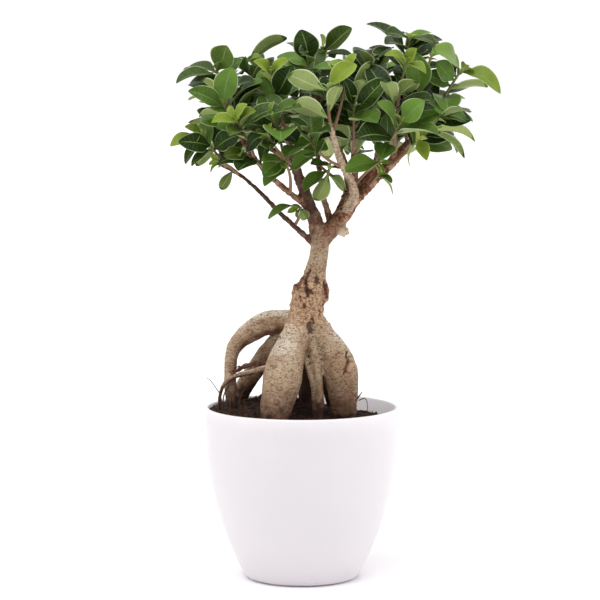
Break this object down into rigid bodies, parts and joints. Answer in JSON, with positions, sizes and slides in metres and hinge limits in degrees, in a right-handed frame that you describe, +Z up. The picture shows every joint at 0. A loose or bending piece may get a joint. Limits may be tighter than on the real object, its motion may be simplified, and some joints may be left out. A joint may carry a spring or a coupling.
{
  "type": "ginseng ficus",
  "caption": "Small grafted indoor fig tree with swollen bare roots, a dense crown of glossy leaves and a round white pot, standing on its flat base.",
  "frame": {"origin": "centre of the pot's flat base, on the surface that it stands on", "axes": "+Z up along the pot's axis, -Y towards the viewer of the picture, +X to the viewer's right"},
  "size_m": [0.2306, 0.1687, 0.4048],
  "materials": {
    "pot": "satin white",
    "soil": "crumbly dark peat",
    "bark": "smooth pale bark with fine creases",
    "foliage": "glossy leathery leaf"
  },
  "bodies": {
    "root": {"pot": "pot", "soil": "soil", "roots_trunk_boughs": "bark", "leafy_stem_01": "foliage", "leafy_stem_02": "foliage", "leafy_stem_03": "foliage", "leafy_stem_04": "foliage", "leafy_stem_05": "foliage", "leafy_stem_06": "foliage", "leafy_stem_07": "foliage", "leafy_stem_08": "foliage", "leafy_stem_09": "foliage", "leafy_stem_10": "foliage", "leafy_stem_11": "foliage", "leafy_stem_12": "foliage", "leafy_stem_13": "foliage", "leafy_stem_14": "foliage", "leafy_stem_15": "foliage", "leafy_stem_16": "foliage", "leafy_stem_17": "foliage", "leafy_stem_18": "foliage", "leafy_stem_19": "foliage", "leafy_stem_20": "foliage", "leafy_stem_21": "foliage", "leafy_stem_22": "foliage", "leafy_stem_23": "foliage", "leafy_stem_24": "foliage", "leafy_stem_25": "foliage", "leafy_stem_26": "foliage", "leafy_stem_27": "foliage", "leafy_stem_28": "foliage", "leafy_stem_29": "foliage", "leafy_stem_30": "foliage", "leafy_stem_31": "foliage", "leafy_stem_32": "foliage", "leafy_stem_33": "foliage", "leafy_stem_34": "foliage", "leafy_stem_35": "foliage", "leafy_stem_36": "foliage", "leafy_stem_37": "foliage", "leafy_stem_38": "foliage", "leafy_stem_39": "foliage", "leafy_stem_40": "foliage", "leafy_stem_41": "foliage", "leafy_stem_42": "foliage", "leafy_stem_43": "foliage", "leafy_stem_44": "foliage", "leafy_stem_45": "foliage", "leafy_stem_46": "foliage"}
  },
  "joints": []
}
